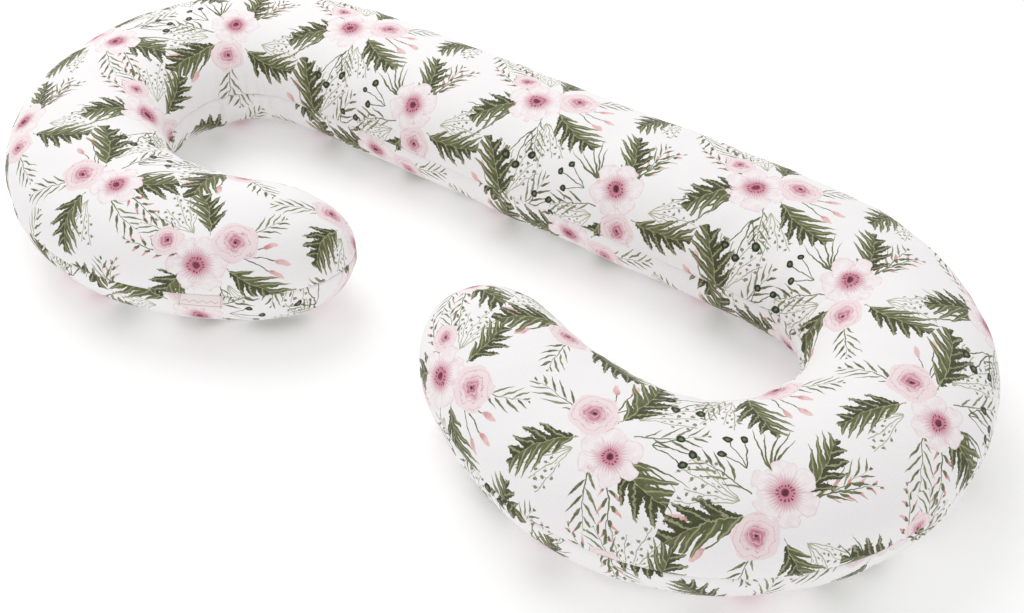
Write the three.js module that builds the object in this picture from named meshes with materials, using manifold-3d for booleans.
// C-shaped nursing and support pillow: a hollow-fibre core in a sewn inner case, inside a removable printed
// cover of two mirrored panels that closes with a coil zip in the outer seam of the straight back.
// Millimetres, +Z up. The pillow lies flat: X runs along the straight back, the two legs curl round to -Y.
import * as THREE from "three";
import { mergeVertices } from "three/addons/utils/BufferGeometryUtils.js";
import Module from "manifold-3d";

const wasm = await Module();
wasm.setup();

// ---------------------------------------------------------------- driving dimensions
// Plan of the tube's centre line, one half of it from the middle of the back to the tip of a leg.
const BACK_HALF = 421; // from the middle of the back to where the bend begins
const BOW_RADIUS = 1150; // the back bows gently beyond the zip
const BEND_RADIUS = 211; // the turn that brings the leg round
const BEND_ANGLE = 80; // degrees
const RETURN_RADIUS = 234; // the turn opens out a little towards the leg
const RETURN_ANGLE = 104; // degrees
const LEG_RADIUS = 421; // the leg keeps curling inwards, more gently
const LEG_ANGLE = 37; // degrees
const EASING = 76; // length over which one curve runs into the next

// Section of the filled tube.
const BACK_WIDTH = 236;
const BEND_WIDTH = 223;
const LEG_WIDTH = 228;
const TIP_WIDTH = 178; // where the rounded end begins to close
const HEIGHT = 168;
const SEAM_HEIGHT = HEIGHT / 2; // the equator seam above the floor
const FLATTENING = 6; // how far the belly is pressed flat by the floor
const SQUARENESS = 0.9; // 1 is an ellipse, less is fuller
const END_CAP = 142; // length over which each end rounds off
const END_FULLNESS = 2.2;

// Layers, from the cover inwards.
const COVER_THICK = 1.0;
const CASE_THICK = 0.8;
const SIDE_EASE = 7.0; // room at the rim for seam allowances and the zip
const FACE_EASE = 0.5;
const CORE_GAP = 0.5;
const SEAM_GAP = 0.3; // between the two panels of a layer

// Zip.
const ZIP_LENGTH = 460; // between the stops
const TAPE_TAIL = 18; // tape beyond the stops
const ZIP_MARGIN = 20; // straight seam beyond each end of the zip
const TAPE_WIDTH = 10;
const TAPE_THICK = 0.7;
const COIL_WIDTH = 2.4;
const COIL_THICK = 1.8;
const CHAIN_GAP = 1.2; // between the two coils, where the slider's web passes
const CLEAR = 0.3; // running clearance
const SLOT_HALF = 5; // the panels' folded edges stand this far from the zip's centre line
const SLOT_TAIL = 6; // slot beyond the stops
const STOP_LENGTH = 2.6;
const SLIDER_LENGTH = 9;
const PLATE_THICK = 1.2;
const WEB_THICK = 0.6;
const BAIL_LENGTH = 6.4;
const BAIL_WIDTH = 1.6;
const BAIL_THICK = 1.0;
const PULL_THICK = 1.2;
const PULL_LENGTH = 26;
const PULL_WIDTH = 6.4;
const PULL_EYE = 4.0; // inside length of the pull's eye

// Labels.
const LABEL_FROM_TIP = 171; // along the centre line
const LABEL_LENGTH = 46;
const LABEL_DEPTH = 14;
const LABEL_THICK = 0.8;
const LABEL_DROOP = 50; // degrees below level
const CARE_FROM_END = 30; // from the closed end of the zip to the middle of the back
const CARE_LENGTH = 34;
const CARE_HEIGHT = 18;
const CARE_THICK = 0.6;

// Resolution.
const BEND_RINGS = 20; // per half, between the straight back and the rounded end
const CAP_RINGS = 6; // per end
const COVER_ANGLES = [0, 7, 20, 35, 52, 71, 90, 109, 128, 145, 160, 173, 180];
const CASE_ANGLES = COVER_ANGLES.filter((_, i) => i % 2 === 0);

const rad = THREE.MathUtils.degToRad;

// ---------------------------------------------------------------- centre line
const STRAIGHT = ZIP_LENGTH / 2 + ZIP_MARGIN; // half of the straight part of the back
const pieces = [
  { length: STRAIGHT + EASING / 2, curve: 0 },
  { length: BACK_HALF - STRAIGHT - EASING / 2, curve: 1 / BOW_RADIUS },
  { length: BEND_RADIUS * rad(BEND_ANGLE), curve: 1 / BEND_RADIUS },
  { length: RETURN_RADIUS * rad(RETURN_ANGLE), curve: 1 / RETURN_RADIUS },
  { length: LEG_RADIUS * rad(LEG_ANGLE), curve: 1 / LEG_RADIUS },
];
const HALF = pieces.reduce((sum, p) => sum + p.length, 0);

function curvature(s) {
  let at = 0;
  let value = pieces[0].curve;
  for (let i = 1; i < pieces.length; i++) {
    at += pieces[i - 1].length;
    const share = THREE.MathUtils.clamp((s - at) / EASING + 0.5, 0, 1);
    value += (pieces[i].curve - pieces[i - 1].curve) * share;
  }
  return value;
}

const STEP = 1;
const path = [{ x: 0, y: 0, turn: 0 }];
for (let s = 0; s < HALF; s += STEP) {
  const last = path[path.length - 1];
  const turn = last.turn + curvature(s + STEP / 2) * STEP;
  const mean = (turn + last.turn) / 2;
  path.push({ x: last.x + Math.cos(mean) * STEP, y: last.y - Math.sin(mean) * STEP, turn });
}

// Centre point and outward direction at arc length s, where a negative s is the mirrored half.
function spine(s) {
  const a = Math.min(Math.abs(s) / STEP, path.length - 1.001);
  const i = Math.floor(a);
  const mix = (key) => path[i][key] + (path[i + 1][key] - path[i][key]) * (a - i);
  const side = s < 0 ? -1 : 1;
  const turn = mix("turn");
  return { x: side * mix("x"), y: mix("y"), nx: side * Math.sin(turn), ny: Math.cos(turn) };
}

function halfWidth(s) {
  const a = Math.abs(s);
  const marks = [
    [STRAIGHT, BACK_WIDTH / 2],
    [HALF * 0.45, BEND_WIDTH / 2],
    [HALF * 0.75, LEG_WIDTH / 2],
    [HALF, TIP_WIDTH / 2],
  ];
  if (a <= marks[0][0]) return marks[0][1];
  const i = marks.findIndex((m) => a <= m[0]);
  const [from, to] = [marks[i - 1], marks[i]];
  return from[1] + (to[1] - from[1]) * THREE.MathUtils.smoothstep(a, from[0], to[0]);
}

// Stations of one half: few along the straight back, closer together where the tube turns, then a rounded end.
const stations = [0, 0.5, 1].map((share) => ({ s: STRAIGHT * share, cap: 0 }));
const spread = (s) => STEP * (1 / 130 + Math.abs(curvature(s)) / rad(13));
const bodyEnd = HALF - END_CAP;
let measure = 0;
for (let s = STRAIGHT; s < bodyEnd; s += STEP) measure += spread(s);
for (let s = STRAIGHT, sum = 0, next = 1; s < bodyEnd && next < BEND_RINGS; s += STEP) {
  sum += spread(s);
  if (sum < (measure * next) / BEND_RINGS) continue;
  stations.push({ s, cap: 0 });
  next++;
}
for (let i = 0; i <= CAP_RINGS; i++) {
  stations.push({ s: bodyEnd, cap: Math.sin((i / CAP_RINGS) * (Math.PI / 2)) });
}
const rings = [
  ...stations.slice(1).reverse().map((t) => ({ ...t, side: -1 })),
  ...stations.map((t) => ({ ...t, side: 1 })),
];

// ---------------------------------------------------------------- tube surfaces
const bow = (value) => Math.sign(value) * Math.abs(value) ** SQUARENESS;

// A point of a layer's surface: inset is how far that surface lies inside the outside of the cover.
function tubePoint(ring, angle, up, inset) {
  const s = ring.side * (ring.s + (END_CAP - inset.side) * ring.cap);
  const closing = Math.sqrt(Math.max(1 - ring.cap ** END_FULLNESS, 0));
  const at = spine(s);
  const across = (halfWidth(s) - inset.side) * closing * bow(Math.cos(rad(angle)));
  const rise = up ? HEIGHT - SEAM_HEIGHT - inset.face : SEAM_HEIGHT + FLATTENING - inset.face;
  const lift = Math.max(rise * closing * bow(Math.sin(rad(angle))), SEAM_GAP / 2);
  const z = up ? SEAM_HEIGHT + lift : Math.max(SEAM_HEIGHT - lift, inset.face);
  return [at.x + at.nx * across, at.y + at.ny * across, z];
}

// Rows of points, one row a ring, where the first and the last ring close to one point.
function grid(positions, pointAt, columns) {
  return rings.map((ring, i) => {
    const tip = i === 0 || i === rings.length - 1;
    const row = [];
    for (let j = 0; j < columns; j++) {
      if (tip && j > 0) {
        row.push(row[0]);
      } else {
        row.push(positions.length / 3);
        positions.push(...pointAt(ring, j));
      }
    }
    return row;
  });
}

function skin(index, rows, flip) {
  for (let i = 0; i + 1 < rows.length; i++) {
    for (let j = 0; j + 1 < rows[i].length; j++) {
      quad(index, rows[i][j], rows[i + 1][j], rows[i + 1][j + 1], rows[i][j + 1], flip);
    }
  }
}

function quad(index, a, b, c, d, flip) {
  for (const t of [[a, b, c], [a, c, d]]) {
    if (new Set(t).size === 3) index.push(...(flip ? [t[2], t[1], t[0]] : t));
  }
}

function closed(positions, index) {
  const geometry = new THREE.BufferGeometry();
  geometry.setAttribute("position", new THREE.Float32BufferAttribute(positions, 3));
  geometry.setIndex(index);
  return geometry;
}

// A closed body between two surfaces that meet in a narrow strip along both rims.
function between(surfaceA, surfaceB, angles, flip) {
  const positions = [];
  const index = [];
  const a = grid(positions, (ring, j) => surfaceA(ring, angles[j]), angles.length);
  const b = grid(positions, (ring, j) => surfaceB(ring, angles[j]), angles.length);
  const last = angles.length - 1;
  skin(index, a, flip);
  skin(index, b, !flip);
  for (let i = 0; i + 1 < a.length; i++) {
    quad(index, a[i][0], a[i + 1][0], b[i + 1][0], b[i][0], !flip);
    quad(index, a[i][last], a[i + 1][last], b[i + 1][last], b[i][last], flip);
  }
  return closed(positions, index);
}

// One sewn panel of a layer: the upper or the lower half of a thin tube.
function panel(outer, inner, angles, up) {
  const surface = (inset) => (ring, angle) => tubePoint(ring, angle, up, inset);
  return between(surface(outer), surface(inner), angles, up);
}

function core(inset, angles) {
  const surface = (up) => (ring, angle) => tubePoint(ring, angle, up, inset);
  return between(surface(true), surface(false), angles, true);
}

// ---------------------------------------------------------------- solids
function toManifold(geometry) {
  const plain = geometry.clone();
  plain.deleteAttribute("normal");
  plain.deleteAttribute("uv");
  const merged = mergeVertices(plain, 1e-4);
  return new wasm.Manifold(
    new wasm.Mesh({
      numProp: 3,
      vertProperties: new Float32Array(merged.attributes.position.array),
      triVerts: new Uint32Array(merged.index.array),
    }),
  );
}

function toGeometry(solid) {
  const mesh = solid.getMesh();
  return closed(Array.from(mesh.vertProperties), Array.from(mesh.triVerts));
}

const add = (...list) => toGeometry(list.map(toManifold).reduce((a, b) => a.add(b)));
const cut = (from, tool) => toGeometry(toManifold(from).subtract(toManifold(tool)));

// A box from its low and high corner.
function block(low, high) {
  const size = high.map((value, i) => value - low[i]);
  return new THREE.BoxGeometry(...size).translate(...low.map((value, i) => value + size[i] / 2));
}

// A flat plate in the XZ plane with rounded corners, from y to y + thick. Each corner is [x, z, radius].
function plate(corners, y, thick, hole) {
  const shape = rounded(new THREE.Shape(), corners);
  if (hole) shape.holes.push(rounded(new THREE.Path(), hole));
  const solid = new THREE.ExtrudeGeometry(shape, { depth: thick, bevelEnabled: false, curveSegments: 4 });
  return solid.rotateX(Math.PI / 2).translate(0, y + thick, 0);
}

function rounded(shape, corners) {
  corners.forEach(([x, z, radius], i) => {
    const before = corners[(i + corners.length - 1) % corners.length];
    const after = corners[(i + 1) % corners.length];
    const here = new THREE.Vector2(x, z);
    const back = new THREE.Vector2(before[0], before[1]).sub(here).setLength(radius).add(here);
    const on = new THREE.Vector2(after[0], after[1]).sub(here).setLength(radius).add(here);
    if (i === 0) shape.moveTo(back.x, back.y);
    else shape.lineTo(back.x, back.y);
    shape.quadraticCurveTo(x, z, on.x, on.y);
  });
  shape.closePath();
  return shape;
}

// ---------------------------------------------------------------- parts
const root = new THREE.Group();
root.name = "nursing_pillow";

function part(name, geometry, colour) {
  const mesh = new THREE.Mesh(geometry, new THREE.MeshStandardMaterial({ color: colour, roughness: 0.9 }));
  mesh.name = name;
  root.add(mesh);
  return mesh;
}

const coverOuter = { side: 0, face: 0 };
const coverInner = { side: COVER_THICK, face: COVER_THICK };
const caseOuter = { side: COVER_THICK + SIDE_EASE, face: COVER_THICK + FACE_EASE };
const caseInner = { side: caseOuter.side + CASE_THICK, face: caseOuter.face + CASE_THICK };
const coreOuter = { side: caseInner.side + CORE_GAP, face: caseInner.face + CORE_GAP };

// The zip runs along the outer seam of the straight back.
const FACE = BACK_WIDTH / 2; // y of the cover's outside at the seam
const LINE = SEAM_HEIGHT; // z of the zip's centre line
const END = ZIP_LENGTH / 2;
const slot = block(
  [-END - SLOT_TAIL, FACE - 6, LINE - SLOT_HALF],
  [END + SLOT_TAIL, FACE + 6, LINE + SLOT_HALF],
);

part("filling", core(coreOuter, CASE_ANGLES), 0xf4f4f2);
for (const [half, up] of [["upper", true], ["lower", false]]) {
  part("inner_case_" + half, panel(caseOuter, caseInner, CASE_ANGLES, up), 0xe9e7e2);
  const sewn = panel(coverOuter, coverInner, COVER_ANGLES, up);
  part("cover_" + half, cut(sewn, slot), up ? 0xf6f3f2 : 0xeeebe6);
}

// How far the cover's inside lies behind FACE at a height above the seam, read along the section's facets.
function coverDepth(height) {
  const middle = { s: 0, cap: 0, side: 1 };
  const points = COVER_ANGLES.slice(0, 7).map((angle) => tubePoint(middle, angle, true, coverInner));
  const i = points.findIndex((p) => p[2] - SEAM_HEIGHT >= height);
  const [low, high] = [points[i - 1], points[i]];
  const share = (height - low[2] + SEAM_HEIGHT) / (high[2] - low[2]);
  return FACE - low[1] - (high[1] - low[1]) * share;
}

// Depths of the zip's layers, from the cover's outside inwards.
const coilFront = FACE - CLEAR;
const coilBack = coilFront - COIL_THICK;
const tapeFront = Math.min(coilBack, FACE - coverDepth(CHAIN_GAP / 2 + TAPE_WIDTH)) - CLEAR;
const tapeBack = tapeFront - TAPE_THICK;
const plateFront = FACE + PLATE_THICK;
const backPlateFront = tapeBack - CLEAR;
const backPlateBack = backPlateFront - PLATE_THICK;
const stopFront = FACE + 0.6;

for (const [half, sign] of [["upper", 1], ["lower", -1]]) {
  const from = (CHAIN_GAP / 2) * sign;
  const strip = (x0, x1, y0, y1, width) => {
    const z = [LINE + from, LINE + from + width * sign].sort((a, b) => a - b);
    return block([x0, y0, z[0]], [x1, y1, z[1]]);
  };
  const tail = END + TAPE_TAIL;
  part("zip_tape_" + half, strip(-tail, tail, tapeBack, tapeFront, TAPE_WIDTH), 0xf2f1ee);
  part("zip_coil_" + half, strip(-END + CLEAR, END - CLEAR, coilBack, coilFront, COIL_WIDTH), 0xfafafa);
  part("zip_top_stop_" + half, strip(END, END + STOP_LENGTH, coilBack, stopFront, COIL_WIDTH), 0xcfcfcf);
}
part(
  "zip_bottom_stop",
  block(
    [-END - STOP_LENGTH, coilBack, LINE - CHAIN_GAP / 2 - COIL_WIDTH],
    [-END, stopFront, LINE + CHAIN_GAP / 2 + COIL_WIDTH],
  ),
  0xcfcfcf,
);

// Slider: two plates round the chain, joined by a web, with side flanges and a bail for the pull.
const sliderAt = END - CLEAR - SLIDER_LENGTH / 2; // its middle, when the zip is closed
const chainHalf = CHAIN_GAP / 2 + COIL_WIDTH;
const wide = chainHalf + CLEAR + 0.8;
const narrow = wide - 0.3;
const nose = sliderAt + SLIDER_LENGTH / 2;
const rear = sliderAt - SLIDER_LENGTH / 2;
const outline = [
  [rear, -narrow, 0.8],
  [nose, -wide, 1.2],
  [nose, wide, 1.2],
  [rear, narrow, 0.8],
];
const bailTop = plateFront + PULL_THICK + 2.4;
const bailShape = new THREE.Shape();
bailShape.moveTo(sliderAt - BAIL_LENGTH / 2, plateFront - 0.4);
bailShape.lineTo(sliderAt + BAIL_LENGTH / 2, plateFront - 0.4);
bailShape.lineTo(sliderAt + BAIL_LENGTH / 2, bailTop - 1);
bailShape.lineTo(sliderAt + BAIL_LENGTH / 2 - 1, bailTop);
bailShape.lineTo(sliderAt - BAIL_LENGTH / 2 + 1, bailTop);
bailShape.lineTo(sliderAt - BAIL_LENGTH / 2, bailTop - 1);
bailShape.closePath();
const bailBody = new THREE.ExtrudeGeometry(bailShape, { depth: BAIL_WIDTH, bevelEnabled: false });
const bail = cut(
  bailBody.translate(0, 0, LINE - BAIL_WIDTH / 2),
  block(
    [sliderAt - BAIL_LENGTH / 2 + BAIL_THICK, plateFront, LINE - 2],
    [sliderAt + BAIL_LENGTH / 2 - BAIL_THICK, bailTop - BAIL_THICK, LINE + 2],
  ),
);
const flange = (sign) => {
  const z = [LINE + sign * (chainHalf + CLEAR), LINE + sign * narrow].sort((a, b) => a - b);
  return block([rear + 1, coilBack + 0.1, z[0]], [nose - 1, FACE + 0.3, z[1]]);
};
part(
  "zip_slider",
  add(
    plate(outline, FACE, PLATE_THICK).translate(0, 0, LINE),
    plate(outline, backPlateBack, PLATE_THICK).translate(0, 0, LINE),
    block(
      [sliderAt + 0.5, backPlateFront - 0.2, LINE - WEB_THICK / 2],
      [nose - 0.6, FACE + 0.2, LINE + WEB_THICK / 2],
    ),
    flange(1),
    flange(-1),
    bail,
  ),
  0xd8d8d8,
);

// Pull: a flat tab whose eye hangs on the bail. It lies flat along the closed chain.
const pullAxis = (plateFront + bailTop - BAIL_THICK) / 2;
const eyeFar = sliderAt - PULL_THICK / 2 - PULL_EYE;
part(
  "zip_pull",
  plate(
    [
      [sliderAt + PULL_THICK / 2, -2.7, 0.5],
      [sliderAt + PULL_THICK / 2, 2.7, 0.5],
      [eyeFar, 2.7, 0.8],
      [eyeFar - 3, PULL_WIDTH / 2, 0.8],
      [sliderAt - PULL_LENGTH, PULL_WIDTH / 2, 2.4],
      [sliderAt - PULL_LENGTH, -PULL_WIDTH / 2, 2.4],
      [eyeFar - 3, -PULL_WIDTH / 2, 0.8],
      [eyeFar, -2.7, 0.8],
    ],
    pullAxis - PULL_THICK / 2,
    PULL_THICK,
    [
      [sliderAt - PULL_THICK / 2, -1.5, 0.4],
      [eyeFar, -1.5, 0.4],
      [eyeFar, 1.5, 0.4],
      [sliderAt - PULL_THICK / 2, 1.5, 0.4],
    ],
  ).translate(0, 0, LINE),
  0xdcdcdc,
);

// A folded ribbon label caught in the outer seam of the left leg, and a care label inside, beside the zip.
function rimPoint(s, out) {
  const p = spine(s);
  const reach = halfWidth(s) + out;
  return { x: p.x + p.nx * reach, y: p.y + p.ny * reach };
}

const labelAt = HALF - LABEL_FROM_TIP;
const before = rimPoint(-labelAt - LABEL_LENGTH / 2, 1.2);
const after = rimPoint(-labelAt + LABEL_LENGTH / 2, 1.2);
const label = new THREE.BoxGeometry(LABEL_LENGTH, LABEL_DEPTH, LABEL_THICK)
  .translate(0, LABEL_DEPTH / 2, 0)
  .rotateX(-rad(LABEL_DROOP))
  .rotateZ(Math.atan2(after.y - before.y, after.x - before.x))
  .translate((before.x + after.x) / 2, (before.y + after.y) / 2, SEAM_HEIGHT);
part("woven_label", label, 0xf3e9e6);
const careTop = LINE - CHAIN_GAP / 2 - TAPE_WIDTH - 1;
const careFront = FACE - coverDepth(LINE - careTop + CARE_HEIGHT) - CLEAR;
const careFrom = END - CARE_FROM_END;
part(
  "care_label",
  block(
    [careFrom - CARE_LENGTH, careFront - CARE_THICK, careTop - CARE_HEIGHT],
    [careFrom, careFront, careTop],
  ),
  0xfafafa,
);

// The row's origin is under the middle of the whole pillow, on the floor.
const box = new THREE.Box3().setFromObject(root);
const middle = box.getCenter(new THREE.Vector3());
for (const mesh of root.children) mesh.geometry.translate(-middle.x, -middle.y, -box.min.z);

export default root;
